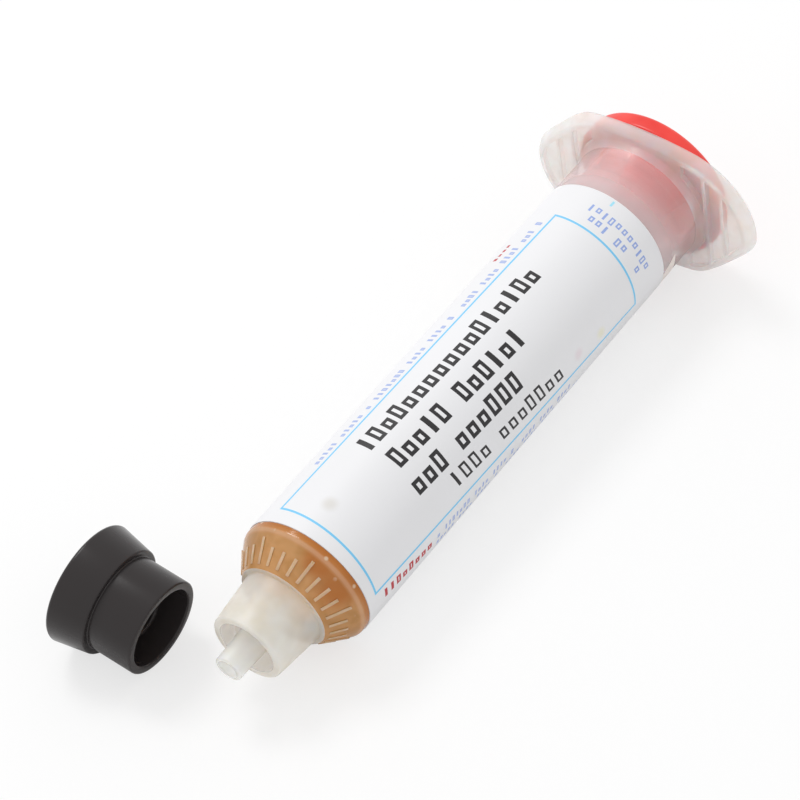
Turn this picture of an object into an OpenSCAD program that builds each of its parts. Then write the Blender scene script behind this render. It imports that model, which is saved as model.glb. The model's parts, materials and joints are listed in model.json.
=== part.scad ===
// Ten-millilitre flux syringe, lying on its side with its tip cap off beside the nozzle.
// The origin is on the barrel's axis at the end of the luer tip, and the barrel runs along +X.
// The barrel leans by rest_tilt, because it lies on its label's front edge and on the flange.

/* [Barrel] */
// Outer radius of the tube
barrel_r = 9.3; // [9:0.1:9.6]
// Radius of the bore that the piston and the plug run in
bore_r = 7.95; // [7.6:0.05:8.15]
// Length of the tube from the shoulder's corner to the flange
tube_len = 74.2; // [70:0.1:90]
// Length of the conical shoulder
shoulder_len = 4.1; // [3.4:0.1:5.5]
// Radius of the shoulder where it meets the lock collar
shoulder_r = 6.3; // [6.1:0.1:7.2]
// Rounding of the shoulder's corner
corner_r = 0.9; // [0.3:0.1:1.2]
// Thickness of the shoulder's wall, measured along the axis
shoulder_wall = 1.5; // [1.2:0.1:2]
// Distance from the shoulder's corner back to where the bore is straight
bore_start = 1; // [0.6:0.1:1.5]
// Radius of the throat where the bore's cone ends
throat_r = 4; // [3:0.1:4.5]
// Depth of the small cone from the throat into the channel
throat_cone = 0.6; // [0.3:0.1:0.9]

/* [Nozzle] */
// How far the luer tip stands out of the lock collar
tip_out = 3.7; // [3:0.1:4.5]
// Outer radius at the end of the luer tip
tip_r = 1.9; // [1.8:0.05:2]
// Radius of the channel through the luer tip
channel_r = 1.35; // [0.9:0.05:1.4]
// Growth of the tip's radius for each millimetre of its length
tip_taper = 0.03; // [0.02:0.005:0.035]
// Length of the lock collar
collar_len = 7.3; // [6.8:0.1:9]
// Outer radius of the collar at its mouth
collar_mouth_r = 5.1; // [4.9:0.05:5.3]
// Outer radius of the collar at the shoulder
collar_base_r = 5.75; // [5.6:0.05:5.9]
// Inner radius of the collar, across its thread's roots
collar_bore_r = 3.9; // [3.7:0.05:4]
// Depth of the ring-shaped hollow between the collar and the tip
collar_depth = 6.4; // [5.6:0.1:6.6]
// Rounding of the collar's mouth and of the tip's end
rim_round = 0.35; // [0.1:0.05:0.4]

/* [Flange] */
// Half of the flange's length, across the two ears
flange_half_l = 17.2; // [16:0.1:18]
// Half of the flange's width, across its long sides
flange_half_w = 11.5; // [11.2:0.1:12]
// Radius of the arc round each ear
flange_end_r = 11; // [10.4:0.1:11.1]
// Distance from the axis to the straight side that leads each ear into an adapter
ear_cut = 14.1; // [13.6:0.1:14.6]
// Direction of that straight side, from upright
ear_cut_turn = 47; // [40:1:50]
// Depth of the flange's rim along the axis
flange_depth = 2; // [1.8:0.1:2.6]
// How much further out the rim's rear edge stands than its front edge
flange_flare = 0.5; // [0.2:0.1:0.8]
// Length of the cone between the tube and the flange
root_len = 0.8; // [0.4:0.1:1.5]
// Thickness of the plate that backs the ears' pockets
ear_plate = 1.2; // [0.9:0.1:1.4]
// Width of the rim round the pockets
ear_rim = 0.9; // [0.7:0.1:1.2]
// Thickness of the ribs across the pockets
ear_rib = 0.5; // [0.4:0.1:0.8]
// How far outside the wall round the bore the middle of each ear's first rib stands
rib_start = 0.15; // [0.05:0.05:0.15]
// Distance from rib to rib
rib_step = 2.6; // [2:0.1:3]
// Distance from the axis to where the pockets begin
pocket_start = 7; // [5:0.5:8]
// Wall that stays round the bore inside the flange
neck_wall = 2.3; // [2:0.1:2.6]
// Chamfer of the flange's edges
flange_chamfer = 0.35; // [0.1:0.05:0.5]

/* [Label] */
// Bare tube between the shoulder's corner and the label
label_start = 1.2; // [0.8:0.1:3]
// Length of the label along the barrel
label_len = 65.1; // [50:0.5:66]
// Thickness of the label
label_t = 0.1; // [0.08:0.01:0.2]
// Angle of the strip of bare tube that the label leaves along the back
label_gap = 30; // [15:5:60]

/* [Flux and piston] */
// Length of the air space between the piston and the end plug
air_len = 6.5; // [6:0.5:36]
// Clearance between the flux and the walls round it
flux_gap = 0.03; // [0.02:0.01:0.1]
// Length of the piston's wiping side
piston_len = 8.5; // [7.5:0.5:10]
// Length of the piston's pointed nose
piston_nose = 3.2; // [2:0.1:3.4]
// Radial running clearance of the piston's lips in the bore
piston_gap = 0.04; // [0.01:0.01:0.1]
// Radius of the flat on the piston's nose
piston_nose_r = 3; // [2:0.5:4]
// Thickness of the piston's nose
piston_crown = 1.8; // [1.2:0.1:2.4]
// Width of each wiping lip
lip_w = 1.2; // [0.8:0.1:1.6]
// Depth of the waist between the lips
waist_depth = 0.55; // [0.3:0.05:0.8]
// Wall of the hollow piston
piston_wall = 1.3; // [1:0.1:1.8]

/* [End plug] */
// How far the plug's head stays inside the flange's long sides
head_inset = 0.3; // [0.1:0.1:1.2]
// Thickness of the head
head_t = 2.6; // [2:0.1:3.5]
// Rounding of the head's outer edge
head_round = 0.8; // [0.3:0.1:1]
// Depth of the dish in the head's outer face
dish_depth = 0.5; // [0.2:0.1:0.9]
// Width of the raised rim round the dish
dish_rim = 2; // [1.5:0.1:3]
// How far the plug's skirt reaches into the bore
skirt_len = 11; // [8:0.5:12]
// Radial clearance of the sealing beads in the bore
plug_gap = 0.04; // [0.01:0.01:0.1]
// How far the beads stand out of the skirt
bead_h = 0.3; // [0.2:0.05:0.4]
// Number of sealing beads
bead_count = 3; // [2:1:3]
// Distance from the skirt's end to the first bead
bead_start = 2.2; // [1.8:0.1:2.6]
// Plain skirt kept between the last bead's space and the head
bead_end = 0.8; // [0.4:0.1:1.5]
// Wall of the skirt
plug_wall = 1.4; // [1:0.1:1.8]
// Length of the lead-in at the skirt's end
lead_len = 1.2; // [0.8:0.1:1.6]
// Depth of the lead-in at the skirt's end
lead_depth = 0.4; // [0.2:0.1:0.6]
// Thickening inside the skirt, under the head
plug_fillet = 0.6; // [0.3:0.1:1]
// Gap between the head and the flange
seat_gap = 0.05; // [0.02:0.01:0.1]

/* [Tip cap] */
// Outer radius at the closed end
cap_end_r = 8.25; // [7.8:0.05:8.6]
// Outer radius at the step, where the grip ends
cap_step_r = 7.4; // [7.1:0.05:7.5]
// Length of the grip
cap_grip_len = 5.35; // [4.5:0.05:6]
// Outer radius of the skirt
cap_skirt_r = 6.55; // [6.4:0.05:6.8]
// Length of the whole cap
cap_len = 11.9; // [11:0.1:13]
// Clearance between the cap and the collar's mouth
cap_gap = 0.3; // [0.2:0.05:0.35]
// Thickness of the closed end
cap_end_t = 1.3; // [1:0.1:1.8]
// Outer radius of the socket inside the cap
socket_r = 2.9; // [2.7:0.05:3.1]
// How far the socket stays behind the cap's mouth
socket_inset = 2.6; // [2.3:0.1:3.5]
// Clearance between the socket and the luer tip's end
socket_gap = 0.1; // [0.05:0.01:0.15]
// Rounding of the closed end's edge
cap_round = 0.5; // [0.2:0.1:0.8]
// Rounding of the mouth's edge
mouth_round = 0.25; // [0.1:0.05:0.3]
// Place of the closed end's centre along the barrel
cap_x = 1.8; // [-4:0.1:6]
// Distance of the closed end's centre from the barrel's axis
cap_y = 24.3; // [22:0.1:40]
// Turn of the cap away from facing square to the barrel
cap_turn = 0.9; // [-10:0.1:10]

/* [Hidden] */
$fn = 96;
eps = 0.01;

// Stations along the barrel's axis, from the end of the luer tip
collar_z = tip_out;
shoulder_z = collar_z + collar_len;
corner_z = shoulder_z + shoulder_len;
label_z = corner_z + label_start;
root_z = corner_z + tube_len;
flange_z = root_z + root_len;
rear_z = flange_z + flange_depth;

// The barrel lies on the label's front edge and on the widest line of the flange
label_r = barrel_r + label_t;
rest_z = rear_z - flange_chamfer;
rest_tilt = atan((flange_half_w - label_r) / (rest_z - label_z));
floor_z = label_z * sin(rest_tilt) - label_r * cos(rest_tilt);

// Bore and chamber
chamber_z = corner_z + bore_start;
throat_z = shoulder_z + shoulder_wall;
channel_z = throat_z - throat_cone;

// Flange outline: two end arcs and two flatter side arcs that meet them without a corner
end_c = flange_half_l - flange_end_r;
side_k = flange_half_w - flange_end_r;
side_c = (end_c * end_c - side_k * side_k) / (2 * side_k);
side_r = flange_half_w + side_c;
neck_r = bore_r + neck_wall;

// End plug
head_r = flange_half_w - head_inset;
skirt_r = bore_r - plug_gap - bead_h;
bead_step = (skirt_len - bead_start - bead_end) / bead_count;
seat_z = rear_z + seat_gap;
skirt_z = seat_z - skirt_len;

// Piston and flux, in front of the air that the plug closes in
flux_r = bore_r - flux_gap;
piston_r = bore_r - piston_gap;
piston_back = skirt_z - air_len;
piston_front = piston_back - piston_len;

// Tip cap
cap_bore_r = collar_mouth_r + cap_gap;
cap_reach = min(collar_len - 1, cap_gap * collar_len / (collar_base_r - collar_mouth_r));
socket_mouth_r = tip_r + tip_taper * (tip_out + cap_reach - socket_inset) + socket_gap;
socket_end_r = tip_r + socket_gap;
cap_rise = cap_end_r - cap_round - (cap_skirt_r - mouth_round);
cap_run = cap_len - mouth_round - cap_round;
cap_dip = atan(cap_rise / cap_run) + asin((cap_round - mouth_round) / norm([cap_rise, cap_run]));
cap_z = floor_z + (cap_end_r - cap_round) * cos(cap_dip) + cap_round * sin(cap_dip) + cap_round;

// Points of an arc about c from angle a0 to angle a1
function arc(c, r, a0, a1, n = 8) =
    [for (i = [0 : n]) c + r * [cos(a0 + (a1 - a0) * i / n), sin(a0 + (a1 - a0) * i / n)]];

// Lays a piece drawn along +Z onto the barrel's leaning axis
module on_axis() rotate([0, 90 - rest_tilt, 0]) children();

// A ring-shaped or solid body of revolution from half-section points [radius, station]
module turned(points) rotate_extrude() polygon(points);

// The flange's oval between two stations, grown by grow0 at the first and by grow1 at the second
module oval(z0, z1, grow0, grow1) {
    far = 1.3 * side_r / norm([side_c, end_c]);
    for (s = [-1, 1]) {
        translate([0, s * end_c, z0])
            cylinder(h = z1 - z0, r1 = flange_end_r + grow0, r2 = flange_end_r + grow1);
        intersection() {
            translate([-s * side_c, 0, z0])
                cylinder(h = z1 - z0, r1 = side_r + grow0, r2 = side_r + grow1, $fn = 240);
            translate([0, 0, z0]) linear_extrude(z1 - z0)
                polygon([[-s * side_c, 0],
                         [s * side_c * (far - 1), far * end_c],
                         [s * side_c * (far - 1), -far * end_c]]);
            translate([s * side_r, 0, z0]) cube([2 * side_r, 4 * side_r, 3 * (z1 - z0)], center = true);
        }
    }
}

// What the ears' straight sides leave off the oval, grown in the same way
module ear_cuts(z0, z1, grow0, grow1) {
    for (s = [0, 180])
        rotate([0, 0, s - ear_cut_turn]) translate([ear_cut + grow0, 0, z0])
            rotate([0, atan((grow1 - grow0) / (z1 - z0)), 0])
                translate([0, -side_r, -side_r]) cube(2 * side_r);
}

// Ear pockets on the flange's front, with the ribs left standing in them
module ear_pockets() {
    floor_at = rear_z - ear_plate;
    drop = flange_flare * (1 - (floor_at - flange_z) / flange_depth);
    difference() {
        oval(flange_z - eps, floor_at, -flange_flare - ear_rim, -drop - ear_rim);
        translate([0, 0, flange_z - 1]) cylinder(h = flange_depth + 2, r = neck_r);
        for (s = [-1, 1], i = [0, 1])
            translate([0, s * (neck_r + rib_start + i * rib_step), rear_z - flange_depth / 2])
                cube([2 * flange_half_w, ear_rib, 2 * flange_depth], center = true);
        cube([2 * flange_half_w, 2 * pocket_start, 3 * rear_z], center = true);
        ear_cuts(flange_z, floor_at, -flange_flare - ear_rim, -drop - ear_rim);
    }
}

module flange() {
    difference() {
        union() {
            oval(flange_z, flange_z + flange_chamfer, -flange_flare - flange_chamfer, -flange_flare);
            oval(flange_z + flange_chamfer, rest_z, -flange_flare, 0);
            oval(rest_z, rear_z, 0, -flange_chamfer);
        }
        ear_cuts(flange_z, flange_z + flange_chamfer, -flange_flare - flange_chamfer, -flange_flare);
        ear_cuts(flange_z + flange_chamfer, rest_z, -flange_flare, 0);
        ear_cuts(rest_z, rear_z, 0, -flange_chamfer);
        ear_pockets();
    }
}

// Outside of the tube, its rounded corner and the cone of the shoulder
module tube_outside() {
    slope = atan2(shoulder_len, barrel_r - shoulder_r);
    drop = corner_r * tan(slope / 2);
    centre = [barrel_r - corner_r, corner_z + drop];
    turned(concat(
        [[0, shoulder_z], [shoulder_r, shoulder_z]],
        arc(centre, corner_r, slope - 90, 0),
        [[barrel_r, root_z],
         [neck_r - flange_chamfer / 2, flange_z],
         [neck_r - flange_chamfer / 2, flange_z + flange_depth / 2],
         [0, flange_z + flange_depth / 2]]));
}

module collar_outside() {
    turned(concat(
        [[0, collar_z]],
        arc([collar_mouth_r - rim_round, collar_z + rim_round], rim_round, -90, 0),
        [[collar_base_r, shoulder_z],
         [collar_base_r + rim_round, shoulder_z + rim_round],
         [0, shoulder_z + rim_round]]));
}

// Hollow between the collar and the tip, which leaves the tapered tip standing
module collar_hollow() {
    end_z = collar_z + collar_depth;
    turned([[tip_r + tip_taper * end_z, end_z],
            [tip_r + tip_taper * (collar_z - eps), collar_z - eps],
            [collar_bore_r + rim_round, collar_z - eps],
            [collar_bore_r, collar_z + rim_round],
            [collar_bore_r, end_z]]);
}

module luer_tip() {
    turned(concat(
        [[0, 0]],
        arc([tip_r - rim_round / 2, rim_round / 2], rim_round / 2, -90, 0, 4),
        [[tip_r + tip_taper * shoulder_z, shoulder_z], [0, shoulder_z]]));
}

// Chamber, throat and channel that the flux fills and leaves by
module bore_space() {
    turned([[0, -1], [channel_r, -1],
            [channel_r, channel_z],
            [throat_r, throat_z],
            [bore_r, chamber_z],
            [bore_r, rear_z - flange_chamfer],
            [bore_r + flange_chamfer, rear_z + eps],
            [0, rear_z + eps]]);
}

module barrel() {
    color([0.9, 0.87, 0.82, 0.75]) on_axis() difference() {
        union() {
            difference() {
                union() {
                    tube_outside();
                    collar_outside();
                    flange();
                }
                collar_hollow();
            }
            luer_tip();
        }
        bore_space();
    }
}

module label() {
    color([0.94, 0.94, 0.95]) on_axis()
        rotate([0, 0, 45 + label_gap / 2]) translate([0, 0, label_z])
            rotate_extrude(angle = 360 - label_gap) translate([barrel_r, 0]) square([label_t, label_len]);
}

module flux_fill() {
    color([0.72, 0.48, 0.26]) on_axis()
        turned([[0, channel_z + flux_gap],
                [channel_r, channel_z + flux_gap],
                [throat_r - flux_gap, throat_z + flux_gap],
                [flux_r, chamber_z + flux_gap],
                [flux_r, piston_front - flux_gap],
                [piston_nose_r, piston_front - piston_nose - flux_gap],
                [0, piston_front - piston_nose - flux_gap]]);
}

module piston() {
    waist_r = piston_r - waist_depth;
    color([0.95, 0.95, 0.93]) on_axis()
        turned([[0, piston_front - piston_nose],
                [piston_nose_r, piston_front - piston_nose],
                [piston_r, piston_front],
                [piston_r, piston_front + lip_w],
                [waist_r, piston_front + lip_w + waist_depth],
                [waist_r, piston_back - lip_w - waist_depth],
                [piston_r, piston_back - lip_w],
                [piston_r, piston_back],
                [piston_r - piston_wall, piston_back],
                [waist_r - piston_wall, piston_front + 2 * piston_wall],
                [piston_nose_r, piston_front - piston_nose + piston_crown],
                [0, piston_front - piston_nose + piston_crown]]);
}

module end_plug() {
    top = seat_z + head_t;
    color([0.93, 0.2, 0.16]) on_axis() {
        turned(concat(
            [[0, seat_z], [head_r - head_round / 2, seat_z]],
            arc([head_r - head_round / 2, seat_z + head_round / 2], head_round / 2, -90, 0, 4),
            arc([head_r - head_round, top - head_round], head_round, 0, 90),
            [[head_r - dish_rim, top],
             [head_r - dish_rim - dish_depth, top - dish_depth],
             [0, top - dish_depth]]));
        turned([[skirt_r - plug_wall, skirt_z],
                [skirt_r - lead_depth, skirt_z],
                [skirt_r, skirt_z + lead_len],
                [skirt_r, seat_z + eps],
                [0, seat_z + eps],
                [0, seat_z - plug_fillet],
                [skirt_r - plug_wall - plug_fillet, seat_z - plug_fillet],
                [skirt_r - plug_wall, seat_z - 2 * plug_fillet]]);
        for (i = [0 : bead_count - 1])
            translate([0, 0, skirt_z + bead_start + i * bead_step])
                turned([[skirt_r - plug_wall / 2, -bead_h],
                        [skirt_r, -bead_h],
                        [skirt_r + bead_h, 0],
                        [skirt_r + bead_h, 2 * bead_h],
                        [skirt_r, 3 * bead_h],
                        [skirt_r - plug_wall / 2, 3 * bead_h]]);
    }
}

// The cap with its closed end at the origin and its mouth towards +Z
module cap_shape() {
    turned(concat(
        [[0, 0]],
        arc([cap_end_r - cap_round, cap_round], cap_round, -90, 0),
        arc([cap_step_r - mouth_round, cap_grip_len - mouth_round], mouth_round, 0, 90, 4),
        [[cap_skirt_r, cap_grip_len]],
        arc([cap_skirt_r - mouth_round, cap_len - mouth_round], mouth_round, 0, 90, 4),
        [[cap_bore_r + mouth_round, cap_len],
         [cap_bore_r, cap_len - mouth_round],
         [cap_bore_r, cap_end_t],
         [0, cap_end_t]]));
    difference() {
        translate([0, 0, cap_end_t / 2]) cylinder(h = cap_len - socket_inset - cap_end_t / 2, r = socket_r);
        translate([0, 0, cap_end_t])
            cylinder(h = cap_len - socket_inset - cap_end_t + eps, r1 = socket_end_r, r2 = socket_mouth_r);
    }
}

module tip_cap() {
    color([0.16, 0.16, 0.17]) translate([cap_x, cap_y, cap_z])
        rotate([0, 0, cap_turn - 90]) rotate([0, 90 + cap_dip, 0]) cap_shape();
}

barrel();
label();
flux_fill();
piston();
end_plug();
tip_cap();
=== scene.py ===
# Flux syringe with a luer nozzle, lying on a pale table with its tip cap off beside it
import json
import math

import bmesh
import bpy
from mathutils import Matrix, Vector

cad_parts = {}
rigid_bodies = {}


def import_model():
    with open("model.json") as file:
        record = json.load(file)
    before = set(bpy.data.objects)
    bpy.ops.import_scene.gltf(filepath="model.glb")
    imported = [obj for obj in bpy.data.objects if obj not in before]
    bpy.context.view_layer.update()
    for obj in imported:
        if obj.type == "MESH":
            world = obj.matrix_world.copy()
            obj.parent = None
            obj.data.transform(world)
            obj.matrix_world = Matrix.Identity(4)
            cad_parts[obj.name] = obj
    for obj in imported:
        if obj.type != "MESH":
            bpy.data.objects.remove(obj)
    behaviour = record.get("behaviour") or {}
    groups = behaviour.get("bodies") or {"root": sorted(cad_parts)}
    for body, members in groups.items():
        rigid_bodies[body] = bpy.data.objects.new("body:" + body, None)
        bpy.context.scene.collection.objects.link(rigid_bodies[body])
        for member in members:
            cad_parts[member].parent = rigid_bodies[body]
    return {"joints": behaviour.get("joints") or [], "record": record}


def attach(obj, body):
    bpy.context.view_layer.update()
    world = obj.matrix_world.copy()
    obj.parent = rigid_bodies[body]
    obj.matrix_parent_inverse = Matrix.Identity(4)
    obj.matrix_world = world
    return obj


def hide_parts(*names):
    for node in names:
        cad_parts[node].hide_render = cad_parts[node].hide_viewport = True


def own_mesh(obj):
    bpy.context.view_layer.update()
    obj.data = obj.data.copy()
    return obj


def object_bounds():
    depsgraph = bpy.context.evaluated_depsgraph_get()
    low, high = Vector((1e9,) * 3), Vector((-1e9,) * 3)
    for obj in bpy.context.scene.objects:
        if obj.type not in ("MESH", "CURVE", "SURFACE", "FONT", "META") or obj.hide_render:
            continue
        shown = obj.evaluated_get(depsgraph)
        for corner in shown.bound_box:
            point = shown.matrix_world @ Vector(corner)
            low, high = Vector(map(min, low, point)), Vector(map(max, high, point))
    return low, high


for leftover in list(bpy.data.objects):  # Blender's own cube, lamp and camera
    bpy.data.objects.remove(leftover)
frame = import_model()
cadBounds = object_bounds()
mm = 0.001

# The barrel's axis as the record states it, and the turn that lays a piece drawn along +Z onto it
outlet = next(mount for mount in frame["record"]["mounts"] if mount["name"] == "outlet")
axis = -Vector(outlet["axis"])
ontoAxis = Matrix.Rotation(math.radians(90) - math.asin(axis.z), 4, "Y")


# Modelling steps that several pieces share


def activate(piece):
    bpy.ops.object.select_all(action="DESELECT")
    piece.select_set(True)
    bpy.context.view_layer.objects.active = piece


def arc(centre, radius, start, end, count):
    # Points (radius, station) of a rounding, from one angle to the other
    angles = [math.radians(start + (end - start) * i / count) for i in range(count + 1)]
    return [(centre[0] + radius * math.cos(a), centre[1] + radius * math.sin(a)) for a in angles]


def between(start, end, parts):
    # Points on the straight run from one point of a profile to another
    return [(start[0] + (end[0] - start[0]) * t, start[1] + (end[1] - start[1]) * t) for t in parts]


def shifted(corner, offsets):
    # The small edges and steps at one corner of a profile
    return [(corner[0] + out, corner[1] + on) for out, on in offsets]


def turnProfile(name, profile, sides, closed=False, fromAngle=0.0, angle=360.0):
    # The profile is drawn point by point, in millimetres, and spun round +Z
    bpy.ops.object.select_all(action="DESELECT")
    bpy.ops.mesh.primitive_plane_add(size=mm, location=(profile[0][0] * mm, 0, profile[0][1] * mm))
    piece = bpy.context.object
    piece.name = name
    bpy.ops.object.transform_apply(location=True)
    bpy.ops.object.mode_set(mode="EDIT")
    bpy.ops.mesh.select_mode(type="VERT")
    bpy.ops.mesh.select_all(action="SELECT")
    bpy.ops.mesh.merge(type="CENTER")
    for before, after in zip(profile, profile[1:]):
        step = ((after[0] - before[0]) * mm, 0, (after[1] - before[1]) * mm)
        bpy.ops.mesh.extrude_vertices_move(TRANSFORM_OT_translate={"value": step})
    if closed:
        outline = bmesh.from_edit_mesh(piece.data)
        for corner in outline.verts:
            corner.select = len(corner.link_edges) == 1
        outline.select_flush_mode()
        bmesh.update_edit_mesh(piece.data)
        bpy.ops.mesh.edge_face_add()
    bpy.ops.mesh.select_all(action="SELECT")
    # With no window, both of these turn the other way
    if fromAngle:
        bpy.ops.transform.rotate(value=-math.radians(fromAngle), orient_axis="Z", center_override=(0, 0, 0))
    bpy.ops.mesh.spin(steps=sides, angle=-math.radians(angle), center=(0, 0, 0), axis=(0, 0, 1))
    bpy.ops.mesh.select_all(action="SELECT")
    bpy.ops.mesh.remove_doubles(threshold=1e-6)
    bpy.ops.mesh.normals_make_consistent(inside=False)
    bpy.ops.object.mode_set(mode="OBJECT")
    return piece


def closeEnds(piece):
    # A profile turned through part of a circle is still open at both ends
    activate(piece)
    bpy.ops.object.mode_set(mode="EDIT")
    bpy.ops.mesh.select_all(action="DESELECT")
    bpy.ops.mesh.select_mode(type="EDGE")
    bpy.ops.mesh.select_non_manifold(extend=False)
    bpy.ops.mesh.edge_face_add()
    bpy.ops.mesh.select_all(action="SELECT")
    bpy.ops.mesh.normals_make_consistent(inside=False)
    bpy.ops.object.mode_set(mode="OBJECT")


def addBox(name, low, high):
    bpy.ops.object.select_all(action="DESELECT")
    centre = [(a + b) / 2 * mm for a, b in zip(low, high)]
    bpy.ops.mesh.primitive_cube_add(size=1, location=centre)
    box = bpy.context.object
    box.name = name
    box.scale = [(b - a) * mm for a, b in zip(low, high)]
    bpy.ops.object.transform_apply(location=True, scale=True)
    return box


def bevelEdges(piece, width):
    activate(piece)
    step = piece.modifiers.new("bevel", "BEVEL")
    step.width = width * mm
    step.segments = 2
    step.limit_method = "ANGLE"
    step.angle_limit = math.radians(40)
    bpy.ops.object.modifier_apply(modifier=step.name)


def combine(piece, tool, operation):
    # The tool is cut from the piece or joined to it, and then thrown away
    activate(piece)
    step = piece.modifiers.new("combine", "BOOLEAN")
    step.object = tool
    step.operation = operation
    step.solver = "EXACT"
    bpy.ops.object.modifier_apply(modifier=step.name)
    bpy.data.objects.remove(tool)


def finishPiece(piece, matrix, body, node, materials, zone=None):
    # The place goes into the mesh, and the object's own origin stays at the frame's
    piece.data.materials.clear()
    for material in materials:
        piece.data.materials.append(material)
    if zone:
        for face in piece.data.polygons:
            face.material_index = materials.index(zone(face.center / mm))
    piece.data.transform(matrix)
    activate(piece)
    bpy.ops.object.shade_smooth_by_angle(angle=math.radians(35))
    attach(piece, body)
    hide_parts(node)
    print("made", piece.name, len(piece.data.polygons), "faces")


# Material steps

mathNode = "ShaderNodeMath"
mixAmount, mixBelow, mixAbove, mixResult = 0, 6, 7, 2  # sockets of a Mix node that mixes colours


def linear(code):
    # A colour written as sRGB hex, for Blender's linear sockets
    parts = [int(code[i : i + 2], 16) / 255 for i in (0, 2, 4)]
    return [p / 12.92 if p <= 0.04045 else ((p + 0.055) / 1.055) ** 2.4 for p in parts] + [1.0]


def newMaterial(name, settings):
    material = bpy.data.materials.new(name)
    material.use_nodes = True
    tree = material.node_tree
    shader = tree.nodes["Principled BSDF"]
    for socket, value in settings.items():
        shader.inputs[socket].default_value = value
    return material, tree, shader


def addNode(tree, kind, settings={}):
    # A setting is a property of the node, a socket or a ramp's stops. A socket takes a value, an earlier
    # node's output, or the earlier node itself for its first output
    node = tree.nodes.new(kind)
    for key, value in settings.items():
        if isinstance(value, bpy.types.Node):
            value = value.outputs[0]
        if key == "stops":
            ramp = node.color_ramp.elements
            for i, (position, colour) in enumerate(value):
                stop = ramp[i] if i < 2 else ramp.new(position)
                stop.position = position
                stop.color = colour
        elif isinstance(value, bpy.types.NodeSocket):
            tree.links.new(value, node.inputs[key])
        elif isinstance(key, str) and hasattr(node, key):
            setattr(node, key, value)
        else:
            node.inputs[key].default_value = value
    return node


def cloudColours(tree, place, size, codes, positions=(0.35, 0.65), distortion=0.0):
    # Slow clouds between two colours, with patches of one size, in the coordinates' own units
    settings = {"Vector": place, "Scale": 1 / size, "Detail": 2.0, "Distortion": distortion}
    clouds = addNode(tree, "ShaderNodeTexNoise", settings)
    stops = [(position, linear(code)) for position, code in zip(positions, codes)]
    return addNode(tree, "ShaderNodeValToRGB", {"Fac": clouds, "stops": stops}).outputs["Color"]


def unevenSurface(tree, shader, place, width, depth, strength):
    # The small unevenness of a moulded surface, as a bump of one width and depth in millimetres
    noise = addNode(tree, "ShaderNodeTexNoise", {"Vector": place, "Scale": 1 / (width * mm), "Detail": 1.0})
    settings = {"Height": noise, "Distance": depth * mm, "Strength": strength}
    tree.links.new(addNode(tree, "ShaderNodeBump", settings).outputs["Normal"], shader.inputs["Normal"])


def stationAlong(tree, point):
    # How far a point lies along the barrel's axis
    settings = {"operation": "DOT_PRODUCT", 0: point, 1: axis}
    return addNode(tree, "ShaderNodeVectorMath", settings).outputs["Value"]


def softSpot(tree, point, centre, core, reach, amount):
    # A round patch that fades out from its core to its reach
    away = addNode(tree, "ShaderNodeVectorMath", {"operation": "DISTANCE", 0: point, 1: centre})
    fade = {"From Min": core, "From Max": reach, "To Min": amount, "To Max": 0.0}
    settings = {"interpolation_type": "SMOOTHSTEP", "Value": away.outputs["Value"], **fade}
    return addNode(tree, "ShaderNodeMapRange", settings)


def newCloudedMaterial(name, settings, codes, patch, positions=(0.35, 0.65), soak=None, uneven=None):
    # Two tints in clouds one patch across. Soak is how deep red, green and blue light go in, and uneven
    # is the bump's width, depth and strength. Lengths are in millimetres
    material, tree, shader = newMaterial(name, settings)
    place = addNode(tree, "ShaderNodeTexCoord").outputs["Object"]
    tree.links.new(cloudColours(tree, place, patch * mm, codes, positions), shader.inputs["Base Color"])
    if soak:
        shader.inputs["Subsurface Radius"].default_value = [depth * mm for depth in soak]
        shader.inputs["Subsurface Scale"].default_value = 1.0
    if uneven:
        unevenSurface(tree, shader, place, *uneven)
    return material


# Milky polypropylene, injection moulded in a polished tool. Light soaks some 3 mm into it, so that its
# walls look full of light, and the melt left clouds some 4 mm across
milkyPolypropylene = newCloudedMaterial(
    "Milky polypropylene",
    {"Roughness": 0.4, "IOR": 1.49, "Transmission Weight": 0.05, "Alpha": 0.64, "Subsurface Weight": 1.0},
    ("ECE2D4", "FDF5E9"),
    4.0,
    soak=(4.0, 3.6, 3.0),
    uneven=(2.5, 0.05, 0.4),
)

# The same moulding in the luer tip, and in its channel and the collar's hollow: creamier, a paler colour that
# paints in the light coming through from both sides, and thinnest to look through in the channel and the
# hollow
nozzleLook = {"Roughness": 0.25, "IOR": 1.49, "Transmission Weight": 0.05, "Subsurface Weight": 1.0}
tipPolypropylene, hollowPolypropylene = (
    newCloudedMaterial(name, {**nozzleLook, "Alpha": alpha}, ("FCF5E4", "FFFDF0"), 3.0, soak=(5.0, 4.5, 3.5))
    for name, alpha in (("Tip polypropylene", 0.5), ("Hollow polypropylene", 0.22))
)

# The same moulding in the flange, whose thin floors and ribs let the most light through
flangePolypropylene = newCloudedMaterial(
    "Flange polypropylene",
    {"Roughness": 0.3, "IOR": 1.49, "Transmission Weight": 0.2, "Alpha": 0.5, "Subsurface Weight": 1.0},
    ("F6E7DF", "FFFCF8"),
    4.0,
    soak=(5.0, 3.0, 2.5),
    uneven=(3.0, 0.05, 0.4),
)

# The same moulding in the raised ticks of the shoulder: thicker plastic over the amber, so paler than it
tickPolypropylene = newCloudedMaterial(
    "Tick polypropylene",
    {"Roughness": 0.2, "IOR": 1.49, "Transmission Weight": 0.3, "Subsurface Weight": 0.5},
    ("DDBB92", "E7C7A2"),
    1.5,
    soak=(3.0, 2.0, 1.0),
)

# The same moulding in the straight tube: a clear wall with a haze in it, which is thicker towards the label.
# Stations are in millimetres along the barrel, and shares are of the light that goes straight through
tubeHaze = {"from": 80.8, "to": 87.2, "shares": (0.45, 0.78), "tints": ("F4EBEC", "FFFDFD")}


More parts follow.
